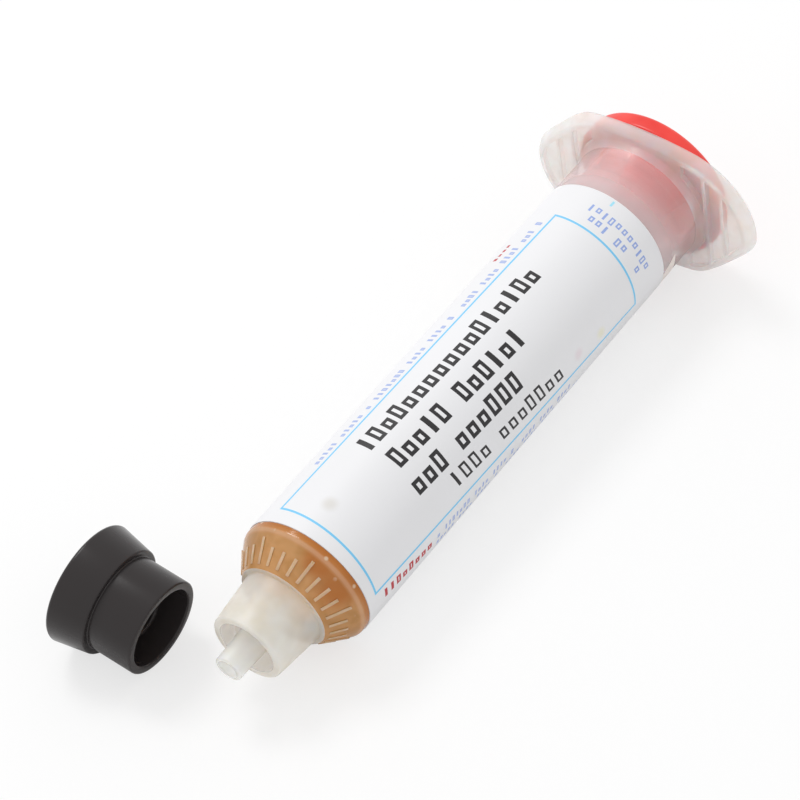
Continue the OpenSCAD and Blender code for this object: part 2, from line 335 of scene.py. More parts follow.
def makeTubeMaterial():
    h = tubeHaze
    hazy, clear = h["shares"]
    look = {"Roughness": 0.26, "IOR": 1.49, "Alpha": 0.7}
    material, tree, shader = newMaterial("Tube polypropylene", look)
    station = stationAlong(tree, addNode(tree, "ShaderNodeTexCoord").outputs["Object"])
    fade = {"From Min": h["from"] * mm, "From Max": h["to"] * mm, "To Min": hazy, "To Max": clear}
    settings = {"interpolation_type": "SMOOTHSTEP", "Value": station, **fade}
    share = addNode(tree, "ShaderNodeMapRange", settings).outputs["Result"]
    stops = [(amount, linear(code)) for amount, code in zip(h["shares"], h["tints"])]
    tint = addNode(tree, "ShaderNodeValToRGB", {"Fac": share, "stops": stops}).outputs["Color"]
    tree.links.new(share, shader.inputs["Transmission Weight"])
    tree.links.new(tint, shader.inputs["Base Color"])
    return material


# The same moulding where the flux wets it from inside: glossy amber, seen through 1.5 mm of clear wall,
# in streaks some 3.3 mm wide, with two deeper patches on the near side. A pale line round the corner is
# a painted highlight, with bubbles some 0.6 mm wide along it painted pale as glints, and a deeper band
# lies between it and the label. Rings are stations along the barrel, with how much of their colour covers
# the amber there
wettedSizes = {
    "streaks": ("C49052", "DAA66C"),
    "streakWidth": 3.33,
    "streakPositions": (0.36, 0.66),
    "streakDistortion": 0.6,
    "patches": [((14.3, -4.4, 8.3), 2.8), ((13.9, -7.4, 5.4), 4.2)],
    "patchCore": 1.0,
    "patchAmount": 0.7,
    "patch": "C06A0E",
    "rings": [
        (14.6, "D2904E", 0.0),
        # 15.0 to 15.24: the pale line round the corner, a painted highlight
        (15.0, "ECBA92", 0.6),
        (15.24, "ECBA92", 0.6),
        (15.52, "D0843A", 0.7),
        (16.0, "C87420", 0.8),
    ],
    "ringsFrom": 14.0,
    "ringsTo": 16.0,
    "bubbleGlintSpacing": 1.923,
    "bubbleGlintCore": 0.13,
    "bubbleGlintEdge": 0.2,
    "bubbleGlintsFrom": 14.2,
    "bubbleGlintsFull": 15.0,
    "bubbleGlintAmount": 0.8,
    "bubbleGlint": "F6DDBE",
}


def makeWettedMaterial():
    w = wettedSizes
    look = {"Roughness": 0.14, "IOR": 1.49, "Specular IOR Level": 0.25, "Transmission Weight": 0.3}
    material, tree, shader = newMaterial("Flux-wetted polypropylene", look)
    place = addNode(tree, "ShaderNodeTexCoord").outputs["Object"]
    streaks = (w["streakWidth"] * mm, w["streaks"], w["streakPositions"], w["streakDistortion"])
    amber = cloudColours(tree, place, *streaks)
    for centre, reach in w["patches"]:
        spot = softSpot(tree, place, Vector(centre) * mm, w["patchCore"] * mm, reach * mm, w["patchAmount"])
        settings = {"data_type": "RGBA", mixAmount: spot, mixBelow: amber, mixAbove: linear(w["patch"])}
        amber = addNode(tree, "ShaderNodeMix", settings).outputs[mixResult]
    along = stationAlong(tree, place)
    span = {"From Min": w["ringsFrom"] * mm, "From Max": w["ringsTo"] * mm}
    station = addNode(tree, "ShaderNodeMapRange", {"Value": along, **span})
    length = w["ringsTo"] - w["ringsFrom"]
    stops = [((at - w["ringsFrom"]) / length, linear(code)[:3] + [amount]) for at, code, amount in w["rings"]]
    rings = addNode(tree, "ShaderNodeValToRGB", {"Fac": station, "stops": stops})
    settings = {mixAmount: rings.outputs["Alpha"], mixBelow: amber, mixAbove: rings.outputs["Color"]}
    amber = addNode(tree, "ShaderNodeMix", {"data_type": "RGBA", **settings}).outputs[mixResult]
    # Small bubbles along the corner, painted pale as glints, that is painted highlights, growing towards the
    # label
    away = addNode(tree, "ShaderNodeTexVoronoi", {"Vector": place, "Scale": 1 / (w["bubbleGlintSpacing"] * mm)})
    edge = {"From Min": w["bubbleGlintCore"], "From Max": w["bubbleGlintEdge"], "To Min": 1.0, "To Max": 0.0}
    bubbleGlint = addNode(tree, "ShaderNodeMapRange", {"Value": away, **edge})
    rise = {"From Min": w["bubbleGlintsFrom"] * mm, "From Max": w["bubbleGlintsFull"] * mm, "To Max": w["bubbleGlintAmount"]}
    nearLabel = addNode(tree, "ShaderNodeMapRange", {"Value": along, **rise})
    shown = addNode(tree, mathNode, {"operation": "MULTIPLY", 0: bubbleGlint, 1: nearLabel})
    settings = {"data_type": "RGBA", mixAmount: shown, mixBelow: amber, mixAbove: linear(w["bubbleGlint"])}
    amber = addNode(tree, "ShaderNodeMix", settings).outputs[mixResult]
    tree.links.new(amber, shader.inputs["Base Color"])
    return material


tubePolypropylene = makeTubeMaterial()
wettedPolypropylene = makeWettedMaterial()

# Amber flux paste, smooth and wet, with slow streaks of thicker paste some 4 mm wide
pasteLook = {"Roughness": 0.3, "IOR": 1.5}
fluxPaste = newCloudedMaterial("Amber flux paste", pasteLook, ("B8661C", "F0AC5C"), 4.17, (0.38, 0.66))

# Red polyethylene, moulded: a soft gloss over faint tints some 5 mm across
redPolyethylene = newCloudedMaterial(
    "Red polyethylene",
    {"Roughness": 0.3, "Subsurface Weight": 0.2},
    ("E22F26", "EE4036"),
    5.0,
    soak=(4.0, 1.0, 1.0),
    uneven=(3.0, 0.04, 0.3),
)

# White polyethylene, moulded: waxy, with an unevenness 1 mm wide
whitePolyethylene = newCloudedMaterial(
    "White polyethylene", {"Roughness": 0.5}, ("ECECE5", "F4F4EF"), 4.0, uneven=(1.0, 0.02, 0.3)
)

# Black polypropylene, moulded in a lightly blasted tool, whose grain of 0.3 mm breaks up its gloss
blackLook = {"Base Color": linear("2E2A2A"), "Roughness": 0.24, "IOR": 1.5, "Specular IOR Level": 0.25}
blackPolypropylene, tree, shader = newMaterial("Black polypropylene", blackLook)
unevenSurface(tree, shader, addNode(tree, "ShaderNodeTexCoord").outputs["Object"], 0.303, 0.03, 0.12)

# Label film, thin, clear and faintly creamy where it is bare
bareLook = {"Roughness": 0.4, "IOR": 1.48, "Alpha": 0.85}
bareFilm = newCloudedMaterial("Bare film", bareLook, ("F8EDE6", "FEF5F0"), 3.0)

# The label's print is laid out in its own millimetres: u runs along the barrel from the printed frame's front
# line, and v round it from the frame's far line. Rows of plain blocks run along u, or along v where turned
labelPrint = {
    "white": ("E3E3E4", "E9E9EC"),
    "whitePatch": 20.0,
    "frame": "76C6EE",
    "frameSize": (56.7, 18.35),
    "frameLine": 0.32,
    "tick": "9ADCF0",
    "tickPlace": (62.2, 5.2),
    "tickHalf": (0.45, 0.16),
    "smudgeCore": 0.2,
    # Place, reach, amount and colour of each
    "smudges": [
        ((3.2, 5.5, 0), 1.5, 0.35, "BDB5A4"),
        ((49.0, 16.8, 0), 1.2, 0.4, "E4DFA8"),
        ((44.1, 16.3, 0), 1.2, 0.35, "DFC2CB"),
    ],
}
plainRow = {"fill": 0.62, "stroke": 0.0, "slope": 0.0, "lean": 0.0, "gaps": 0.2, "amount": 1.0}
blackRow = {**plainRow, "ink": "1C1A1C", "fill": 0.72, "stroke": 0.52, "gaps": 0.08}
blueRow = {**plainRow, "ink": "7C9ADB", "amount": 0.75}
turnedRow = {**blueRow, "amount": 0.85, "turned": True}
redRow = {**plainRow, "ink": "B8323A", "gaps": 0.0}
slimRow = {**blackRow, "fill": 0.66, "stroke": 0.34, "lean": -0.22, "gaps": 0.12}
# Each row's look, then its start, centre, length, height, pitch and seed, then what else is its own
printRows = [
    (blackRow, (12.2, 3.3, 35.4, 2.6, 2.08, 68), {"stroke": 0.5, "slope": 0.014}),
    (blackRow, (13.0, 7.6, 26.0, 2.7, 2.16, 106), {"slope": 0.02}),
    (blackRow, (12.4, 11.7, 22.4, 2.7, 2.2, 152), {"slope": 0.01}),
    (slimRow, (17.5, 15.2, 25.4, 2.3, 1.95, 185), {"slope": 0.035}),
    (blueRow, (8.0, -1.4, 47.0, 1.15, 0.86, 7), {"stroke": 0.24}),
    (blueRow, (12.6, 20.3, 30.0, 1.0, 0.8, 19), {"stroke": 0.22}),
    (blueRow, (12.6, 21.9, 34.0, 0.9, 0.8, 23), {"fill": 0.6}),
    (turnedRow, (4.2, 58.3, 9.8, 1.25, 1.15, 57), {"stroke": 0.24, "gaps": 0.12}),
    (turnedRow, (2.0, 60.0, 14.8, 1.2, 1.1, 79), {"stroke": 0.22, "gaps": 0.25}),
    (redRow, (1.4, 19.9, 10.6, 1.5, 1.3, 67), {"fill": 0.66, "stroke": 0.34, "slope": 0.06}),
    (redRow, (47.2, -3.5, 3.6, 0.8, 0.9, 71), {"fill": 0.6}),
]
# A block's random number from 0 to 1 says what it is: low above lowOver, and a plain bar round barAt
blockLook = {"lowOver": 0.55, "lowDrop": 0.3, "barAt": 0.43, "barReach": 0.12, "barWidth": 0.75}


def insideBox(tree, u, v, centre, half):
    # 1 inside a rectangle and 0 outside it
    inU = addNode(tree, mathNode, {"operation": "COMPARE", 0: u, 1: centre[0], 2: half[0]})
    inV = addNode(tree, mathNode, {"operation": "COMPARE", 0: v, 1: centre[1], 2: half[1]})
    return addNode(tree, mathNode, {"operation": "MULTIPLY", 0: inU, 1: inV})


def blockRow(tree, u, v, look, sizes, own):
    # A row of small plain blocks, set like a line of print. Some are left out, some low, and some plain bars
    row = {**look, **own}
    start, centre, length, height, pitch, seed = sizes
    along, across = (v, u) if "turned" in row else (u, v)
    level = addNode(tree, mathNode, {"operation": "SUBTRACT", 0: across, 1: centre})
    x = addNode(tree, mathNode, {"operation": "SUBTRACT", 0: along, 1: start})
    y = addNode(tree, mathNode, {"operation": "MULTIPLY_ADD", 0: x, 1: -row["slope"], 2: level})
    x = addNode(tree, mathNode, {"operation": "MULTIPLY_ADD", 0: y, 1: row["lean"], 2: x})
    turn = addNode(tree, mathNode, {"operation": "DIVIDE", 0: x, 1: pitch})
    part = addNode(tree, mathNode, {"operation": "FRACT", 0: turn})
    number = addNode(tree, mathNode, {"operation": "FLOOR", 0: turn})
    seeded = addNode(tree, mathNode, {"operation": "ADD", 0: number, 1: seed})
    chance = addNode(tree, "ShaderNodeTexWhiteNoise", {"noise_dimensions": "1D", "W": seeded})
    # A low block loses its top, on the side where y is smaller
    k = blockLook
    half, fill = height / 2, row["fill"] / 2
    isLow = addNode(tree, mathNode, {"operation": "GREATER_THAN", 0: chance, 1: k["lowOver"]})
    drop = addNode(tree, mathNode, {"operation": "MULTIPLY", 0: isLow, 1: k["lowDrop"] * half})
    reach = addNode(tree, mathNode, {"operation": "SUBTRACT", 0: half, 1: drop})
    block = insideBox(tree, part, y, (fill, drop), (fill, reach))
    if row["stroke"]:
        # A hollow block, or a plain bar where the random number says so
        stroke = row["stroke"] / pitch
        inset = addNode(tree, mathNode, {"operation": "SUBTRACT", 0: reach, 1: row["stroke"]})
        hole = insideBox(tree, part, y, (fill, drop), (fill - stroke, inset))
        hollow = addNode(tree, mathNode, {"operation": "SUBTRACT", 0: block, 1: hole})
        inBar = addNode(tree, mathNode, {"operation": "COMPARE", 0: part, 1: fill, 2: k["barWidth"] * stroke})
        bar = addNode(tree, mathNode, {"operation": "MULTIPLY", 0: block, 1: inBar})
        change = addNode(tree, mathNode, {"operation": "SUBTRACT", 0: bar, 1: hollow})
        isBar = addNode(tree, mathNode, {"operation": "COMPARE", 0: chance, 1: k["barAt"], 2: k["barReach"]})
        block = addNode(tree, mathNode, {"operation": "MULTIPLY_ADD", 0: isBar, 1: change, 2: hollow})
    count = round(length / pitch)
    inRow = addNode(tree, mathNode, {"operation": "COMPARE", 0: number, 1: (count - 1) / 2, 2: count / 2})
    isKept = addNode(tree, mathNode, {"operation": "GREATER_THAN", 0: chance, 1: row["gaps"]})
    for share in (inRow, isKept, row["amount"]):
        block = addNode(tree, mathNode, {"operation": "MULTIPLY", 0: block, 1: share})
    return block, row["ink"]


# Label film: white, printed in flat inks and half glossy
def makeLabelMaterial():
    p = labelPrint
    material, tree, shader = newMaterial("Printed label film", {"Roughness": 0.5, "IOR": 1.48})
    flat = addNode(tree, "ShaderNodeUVMap", {"uv_map": "millimetres"}).outputs["UV"]
    parts = addNode(tree, "ShaderNodeSeparateXYZ", {0: flat})
    u, v = parts.outputs["X"], parts.outputs["Y"]
    middle = [size / 2 for size in p["frameSize"]]
    line = p["frameLine"] / 2
    outer, inner = (insideBox(tree, u, v, middle, [size + out for size in middle]) for out in (line, -line))
    frameLine = addNode(tree, mathNode, {"operation": "SUBTRACT", 0: outer, 1: inner})
    layers = [(frameLine, p["frame"])]
    layers += [blockRow(tree, u, v, *row) for row in printRows]
    layers.append((insideBox(tree, u, v, p["tickPlace"], p["tickHalf"]), p["tick"]))
    for place, reach, amount, code in p["smudges"]:
        layers.append((softSpot(tree, flat, place, p["smudgeCore"], reach, amount), code))
    # Each ink lies over those before it
    ink = cloudColours(tree, flat, p["whitePatch"], p["white"], (0.0, 1.0))
    for mask, code in layers:
        settings = {"data_type": "RGBA", mixAmount: mask, mixBelow: ink, mixAbove: linear(code)}
        ink = addNode(tree, "ShaderNodeMix", settings).outputs[mixResult]
    tree.links.new(ink, shader.inputs["Base Color"])
    return material


labelFilm = makeLabelMaterial()
print("materials made")

# Barrel, drawn along +Z in millimetres from the end of the luer tip, as one closed shell
barrelSizes = {
    "channelRadius": 1.35,
    "channelEdge": 0.12,
    "tipRadius": 1.9,
    "tipGrowth": 0.03,
    "tipRound": 0.2,
    "tipStations": (2.0, 4.0, 6.0, 8.0),
    "hollowEnd": 10.1,
    "hollowRound": 0.3,
    "collarBore": 3.9,
    "collarStart": 3.7,
    "collarMouth": 5.1,
    "collarBase": 5.75,
    "collarRound": 0.32,
    "collarFillet": 0.22,
    "shoulderStart": 11.0,
    "shoulderRadius": 6.3,
    "shoulderRound": 0.15,
    "cornerStart": 15.1,
    "cornerRadius": 0.9,
    "tubeRadius": 9.3,
    "tubeStations": (16.25, 30.0, 50.0, 70.0, 81.45, 86.0),
    "rootStart": 89.3,
    "rootFoot": [(0.0, -0.35), (0.06, -0.1), (0.25, 0.15)],
    "rootRadius": 10.07,
    "rootHead": [(-0.2, -0.16), (0.02, -0.02), (0.12, 0.0)],
    "flangeStart": 90.1,
    "flangeEnd": 92.1,
    "flangeFlare": 0.5,
    "flangeFrontRound": 0.45,
    "flangeRearRound": 0.5,
    "boreRadius": 7.95,
    "boreEdge": [(0.35, 0.0), (0.12, -0.08), (0.0, -0.35)],
    "boreStations": (85.0, 70.0, 50.0, 30.0),
    "chamberStart": 16.1,
    "throatRadius": 4.0,
    "throatStart": 12.5,
    "channelEnd": 11.9,
    "sides": 288,
}
flangeSizes = {
    "halfLength": 17.2,
    "halfWidth": 11.5,
    "endRadius": 11.0,
    "cutDistance": 14.1,
    "cutTurn": 47,
    "cutRound": 1.4,
    "neckRadius": 10.25,
    "pocketStart": 7.0,
    "pocketFloor": 90.9,
    "pocketEdge": 0.12,
    "rim": 0.9,
    "rib": 0.5,
    "ribPlaces": (10.4, 13.0),
    "cutterStart": 89.5,
    "cutterPast": 1.0,
    "cutterFar": 20.0,
    "mark": 30.0,
}


def flangeRadius(angle, grow):
    # Distance from the axis to the flange's outline: two ear arcs, two flatter sides, and each ear's straight
    # lead-in, which meets the arcs in a small rounding
    f = flangeSizes
    endPlace = f["halfLength"] - f["endRadius"]
    inset = f["halfWidth"] - f["endRadius"]
    sidePlace = (endPlace**2 - inset**2) / (2 * inset)
    sideRadius = f["halfWidth"] + sidePlace
    c, s = abs(math.cos(angle)), abs(math.sin(angle))
    reach = (f["endRadius"] + grow) / math.hypot(sidePlace, endPlace)
    meet = math.atan2(endPlace * (1 + reach), sidePlace * reach)
    if math.atan2(s, c) < meet:
        out = -sidePlace * c + math.sqrt((sideRadius + grow) ** 2 - (sidePlace * s) ** 2)
    else:
        out = endPlace * s + math.sqrt((f["endRadius"] + grow) ** 2 - (endPlace * c) ** 2)
    facing = max(0.5, abs(math.cos(angle + math.radians(f["cutTurn"]))))  # so that its line stays near
    cut = (f["cutDistance"] + grow) / facing
    near = max(0.0, f["cutRound"] - abs(out - cut))
    return min(out, cut) - near**2 / (4 * f["cutRound"])


def shapeFlange(piece):
    # Rings turned at the mark plus their growth are brought in to the flange's outline
    mark = flangeSizes["mark"]
    for v in piece.data.vertices:
        radius = math.hypot(v.co.x, v.co.y) / mm
        if radius > mark / 2:
            angle = math.atan2(v.co.y, v.co.x)
            target = flangeRadius(angle, radius - mark) * mm
            v.co.x, v.co.y = target * math.cos(angle), target * math.sin(angle)


def makeBarrel():
    b = barrelSizes
    mark = flangeSizes["mark"]
    channel, hollow, tube, bore = (b[k] for k in ("channelRadius", "collarBore", "tubeRadius", "boreRadius"))
    tipRoot = b["tipRadius"] + b["tipGrowth"] * b["hollowEnd"]
    slope = math.degrees(math.atan2(b["cornerStart"] - b["shoulderStart"], tube - b["shoulderRadius"]))
    r = b["cornerRadius"]
    corner = (tube - r, b["cornerStart"] + r * math.tan(math.radians(slope / 2)))
    # The luer tip, and the hollow between it and the collar
    edge, r = b["channelEdge"], b["tipRound"]
    profile = arc((channel + edge, edge), edge, 180, 270, 4) + arc((b["tipRadius"] - r, r), r, 270, 360, 6)
    profile += [(b["tipRadius"] + b["tipGrowth"] * station, station) for station in b["tipStations"]]
    r = b["hollowRound"]
    profile += arc((tipRoot + r, b["hollowEnd"] - r), r, 180, 90, 4)
    profile += arc((hollow - r, b["hollowEnd"] - r), r, 90, 0, 4)
    profile += [(hollow, station) for station in reversed(b["tipStations"][2:])]
    profile += arc((hollow + r, b["collarStart"] + r), r, 180, 270, 5)
    # The lock collar, the shoulder's cone and its rounded corner
    r = b["collarRound"]
    profile += arc((b["collarMouth"] - r, b["collarStart"] + r), r, 270, 360, 6)
    mouth, base = (b["collarMouth"], b["collarStart"]), (b["collarBase"], b["shoulderStart"])
    profile += between(mouth, base, (0.3, 0.6, 0.85))
    r = b["collarFillet"]
    profile += arc((base[0] + r, base[1] - r), r, 180, 90, 4)
    r = b["shoulderRound"]
    profile += arc((b["shoulderRadius"] - r / 3, b["shoulderStart"] + r), r, 270, 330, 4)
    cone = (b["shoulderRadius"], b["shoulderStart"]), (tube, b["cornerStart"])
    profile += between(*cone, (0.15, 0.35, 0.55, 0.75))
    profile += arc(corner, b["cornerRadius"], slope - 90, 0, 8)
    # The tube, its stepped root and the flange's edge
    profile += [(tube, station) for station in b["tubeStations"]]
    profile += shifted((tube, b["rootStart"]), b["rootFoot"])
    profile += shifted((b["rootRadius"], b["flangeStart"]), b["rootHead"])
    r = b["flangeFrontRound"]
    profile += arc((mark - b["flangeFlare"] - r, b["flangeStart"] + r), r, 270, 345, 6)
    r = b["flangeRearRound"]
    profile += arc((mark - r, b["flangeEnd"] - r), r, -15, 90, 8)
    # The bore, the nozzle's throat and the channel
    profile += shifted((bore, b["flangeEnd"]), b["boreEdge"])
    profile += [(bore, station) for station in b["boreStations"] + (b["chamberStart"],)]
    profile += [(b["throatRadius"], b["throatStart"]), (channel, b["channelEnd"])]
    profile.append((channel, b["tipStations"][2]))
    piece = turnProfile("barrel_moulding", profile, b["sides"], closed=True)
    shapeFlange(piece)
    return piece


def makePockets():
    # The ears' pockets as one cutter: a ring under the rim, less the ribs and the middle
    f = flangeSizes
    low, high = f["cutterStart"], f["pocketFloor"]
    past, far = f["cutterPast"], f["cutterFar"]
    inner = f["mark"] - barrelSizes["flangeFlare"] - f["rim"]
    profile = [(f["neckRadius"], low), (inner, low), (inner, high), (f["neckRadius"], high)]
    cutter = turnProfile("pocket_cutter", profile, barrelSizes["sides"], closed=True)
    shapeFlange(cutter)
    strips = [(-f["pocketStart"], f["pocketStart"])]
    strips += [(side * y - f["rib"] / 2, side * y + f["rib"] / 2) for side in (-1, 1) for y in f["ribPlaces"]]
    for near, end in strips:
        strip = addBox("strip", (-far, near, low - past), (far, end, high + past))
        combine(cutter, strip, "DIFFERENCE")
    bevelEdges(cutter, f["pocketEdge"])
    return cutter


shoulderTicks = {
    "count": 28,
    "lengths": (3.4, 2.4, 2.4, 2.4),
    "width": 0.44,
    "proud": 0.12,
    "start": 0.7,
    "edge": 0.05,
    "zone": (0.5, 4.4),
    "zoneOver": 0.03,
}


def shoulderCone():
    b = barrelSizes
    run, rise = b["tubeRadius"] - b["shoulderRadius"], b["cornerStart"] - b["shoulderStart"]
    return math.atan2(rise, run)


def isTick(radius, station):
    # Whether a point stands out from the shoulder's cone
    slope = shoulderCone()
    out, on = radius - barrelSizes["shoulderRadius"], station - barrelSizes["shoulderStart"]
    along = out * math.cos(slope) + on * math.sin(slope)
    above = out * math.sin(slope) - on * math.cos(slope)
    first, last = shoulderTicks["zone"]
    return first < along < last and above > shoulderTicks["zoneOver"]


def makeTicks():
    # Plain raised ticks round the shoulder, each a bevelled bar laid on the cone
    t = shoulderTicks
    slope = shoulderCone()
    start = Vector((t["start"] * math.cos(slope), 0, t["start"] * math.sin(slope)))
    foot = (Vector((barrelSizes["shoulderRadius"], 0, barrelSizes["shoulderStart"])) + start) * mm
    bars = []
    for i in range(t["count"]):
        length = t["lengths"][i % len(t["lengths"])]
        bar = addBox("tick", (0, -t["width"] / 2, -t["proud"]), (length, t["width"] / 2, t["proud"]))
        bevelEdges(bar, t["edge"])
        turn = Matrix.Rotation(math.tau * i / t["count"], 4, "Z")
        bar.data.transform(turn @ Matrix.Translation(foot) @ Matrix.Rotation(-slope, 4, "Y"))
        bars.append(bar)
    activate(bars[0])
    for bar in bars:
        bar.select_set(True)
    bpy.ops.object.join()
    return bars[0]


# The collar's thread: two starts of a right-hand luer thread. Its base reaches into the wall
threadSizes = {
    "lead": 5.08,
    "starts": 2,
    "from": 4.7,
    "to": 9.2,
    "depth": 0.38,
    "root": 0.9,
    "crest": 0.4,
    "base": 0.1,
    "steps": 60,
}


def makeThread(turn):
    # One start: its section is drawn at the bore and wound up with a Screw modifier
    t = threadSizes
    base, tip = barrelSizes["collarBore"] + t["base"], barrelSizes["collarBore"] - t["depth"]
    section = [(base, -t["root"] / 2), (tip, -t["crest"] / 2), (tip, t["crest"] / 2), (base, t["root"] / 2)]
    bpy.ops.object.select_all(action="DESELECT")
    bpy.ops.mesh.primitive_plane_add(size=mm)
    ridge = bpy.context.object
    ridge.name = "thread"
    for i, (radius, height) in zip((0, 1, 3, 2), section):  # a plane's corners, in order round it
        ridge.data.vertices[i].co = (radius * mm, 0, (t["from"] + height) * mm)
    bpy.ops.object.mode_set(mode="EDIT")
    bpy.ops.mesh.select_all(action="SELECT")
    bpy.ops.mesh.delete(type="ONLY_FACE")
    bpy.ops.object.mode_set(mode="OBJECT")
    wind = ridge.modifiers.new("wind", "SCREW")
    wind.axis = "Z"
    wind.angle = math.tau * (t["to"] - t["from"]) / t["lead"]
    wind.screw_offset = (t["to"] - t["from"]) * mm
    wind.steps = wind.render_steps = t["steps"]
    bpy.ops.object.modifier_apply(modifier=wind.name)
    bpy.ops.object.mode_set(mode="EDIT")
    bpy.ops.mesh.select_all(action="SELECT")
    bpy.ops.mesh.fill_holes(sides=0)
    bpy.ops.mesh.normals_make_consistent(inside=False)
    bpy.ops.object.mode_set(mode="OBJECT")
    ridge.data.transform(Matrix.Rotation(turn, 4, "Z"))
    return ridge


barrel = makeBarrel()
combine(barrel, makePockets(), "DIFFERENCE")
combine(barrel, makeTicks(), "UNION")
for start in range(threadSizes["starts"]):
    combine(barrel, makeThread(math.tau * start / threadSizes["starts"]), "UNION")

barrelFinishes = [milkyPolypropylene, wettedPolypropylene, tubePolypropylene, flangePolypropylene]
barrelFinishes += [tickPolypropylene, tipPolypropylene, hollowPolypropylene]
# Where one finish of the barrel gives way to the next. A small margin keeps an edge's own faces on one side
barrelZones = {"channel": 1.5, "tip": 2.6, "margin": 0.1, "rootMargin": 0.2}


def barrelZone(centre):
    # The nozzle is milky, the shoulder is wetted by the flux, and the tube and the flange are thin
    b, z = barrelSizes, barrelZones
    station, radius = centre.z, math.hypot(centre.x, centre.y)
    if radius < b["collarBore"] + 2 * z["margin"] and station < b["hollowEnd"] + z["margin"]:
        return tipPolypropylene if z["channel"] < radius < z["tip"] else hollowPolypropylene
    if isTick(radius, station):
        return tickPolypropylene
    if station < b["shoulderStart"] + z["margin"] or radius < z["channel"]:
        return milkyPolypropylene
    if station < b["tubeStations"][0]:
        return wettedPolypropylene
    return tubePolypropylene if station < b["rootStart"] - z["rootMargin"] else flangePolypropylene


finishPiece(barrel, ontoAxis, "syringe", "barrel", barrelFinishes, barrelZone)

# Label film, spun 330 degrees round the tube with its own map in millimetres. The print is turned by
# printTurn degrees on it, and printStart and printFar are where the printed frame begins
labelSizes = {
    "inner": 9.305,
    "outer": 9.4,
    "edge": 0.02,
    "start": 16.3,
    "end": 81.4,
    "stations": (30.0, 50.0, 70.0),
    "from": 60.0,
    "turn": 330.0,
    "sides": 176,
    "printTurn": 2.05,
    "printStart": 18.6,
    "printFar": 24.9,
}


def makeLabel():
    s = labelSizes
    low, high, edge = s["inner"], s["outer"], s["edge"]
    profile = [(low, s["start"]), (high - edge, s["start"]), (high, s["start"] + edge)]
    profile += [(high, station) for station in s["stations"]]
    profile += [(high, s["end"] - edge), (high - edge, s["end"]), (low, s["end"])]
    piece = turnProfile("printed_label", profile, s["sides"], True, s["from"], s["turn"])
    closeEnds(piece)
    layer = piece.data.uv_layers.new(name="millimetres")
    turn = math.radians(s["printTurn"])
    bare = s["from"] - (360 - s["turn"]) / 2  # the middle of the bare strip, from which angles are counted
    for loop in piece.data.loops:
        co = piece.data.vertices[loop.vertex_index].co
        angle = (math.degrees(math.atan2(co.y, co.x)) - bare) % 360 + bare
        u = co.z / mm - s["printStart"]
        v = math.radians(angle) * high - s["printFar"]
        layer.data[loop.index].uv = (
            u * math.cos(turn) + v * math.sin(turn),
            v * math.cos(turn) - u * math.sin(turn),
        )
    return piece


finishPiece(makeLabel(), ontoAxis, "syringe", "label", [labelFilm])

# Corner of bare film that runs on past the label's rear edge, low on the near side. It falls away by so
# many millimetres a degree round the tube, down to a narrow strip
tailSizes = {
    "low": 9.31,
    "high": 9.36,
    "start": 81.35,
    "end": 84.2,
    "from": -87.0,
    "turn": 29.0,
    "sides": 20,
    "fall": 0.28,
    "strip": 0.05,
}


def makeTail():
    s = tailSizes
    profile = [(s["low"], s["start"]), (s["high"], s["start"]), (s["high"], s["end"]), (s["low"], s["end"])]
    piece = turnProfile("film_tail", profile, s["sides"], True, s["from"], s["turn"])
    closeEnds(piece)
    for v in piece.data.vertices:
        angle = math.degrees(math.atan2(v.co.y, v.co.x)) - s["from"]
        if v.co.z < (s["start"] + s["end"]) / 2 * mm:
            v.co.z = max(s["start"], s["end"] - s["strip"] - s["fall"] * angle) * mm
    return piece


finishPiece(makeTail(), ontoAxis, "syringe", "label", [bareFilm])

# Flux: a lining of the nozzle's cone that stays, and a filling that shortens as the piston comes. The
# filling is a core with rings round it. Each flattens onto its own step of the lining, so that the
# piston's nose fits in at the end
fluxSizes = {
    "channelRadius": 1.37,
    "start": 11.9,
    "throatRadius": 4.02,
    "throat": 12.48,
    "radius": 7.97,
    "cone": 16.08,
    "rear": 66.12,
    "noseRadius": 3.0,
    "noseLength": 3.2,
    "left": 0.05,
    "skin": 0.03,
    "sides": 160,
}


def fluxRear(radius):
    # Station of the filling's rear face, which follows the piston's nose
    s = fluxSizes
    slope = s["noseLength"] / (s["radius"] - s["noseRadius"])
    return s["rear"] - s["noseLength"] + max(0.0, radius - s["noseRadius"]) * slope


def fluxSteps():
    # Inner radius, outer radius and floor of the core and of each ring. The floor is where the piston's
    # nose comes to at that inner radius, and the ring is as wide as the nozzle's cone allows there
    s = fluxSizes
    slide = next(joint for joint in frame["joints"] if joint["name"] == "piston_slide")
    travel = slide["range_m"][1] / mm
    widening = (s["radius"] - s["throatRadius"]) / (s["cone"] - s["throat"])
    steps = []
    inner = 0.0
    while inner < s["radius"]:
        floor = fluxRear(inner) - travel - s["left"]
        outer = min(s["radius"], s["throatRadius"] + (floor - s["skin"] - s["throat"]) * widening)
        steps.append((inner, outer, floor))
        inner = outer
    return steps


def makeLining(steps):
    s = fluxSizes
    profile = [(0, s["start"]), (s["channelRadius"], s["start"])]
    profile += [(s["throatRadius"], s["throat"]), (s["radius"], s["cone"])]
    for inner, outer, floor in reversed(steps):
        profile += [(outer, floor), (inner, floor)]
    piece = turnProfile("flux_in_nozzle", profile, s["sides"])
    finishPiece(piece, ontoAxis, "syringe", "flux_fill", [fluxPaste])


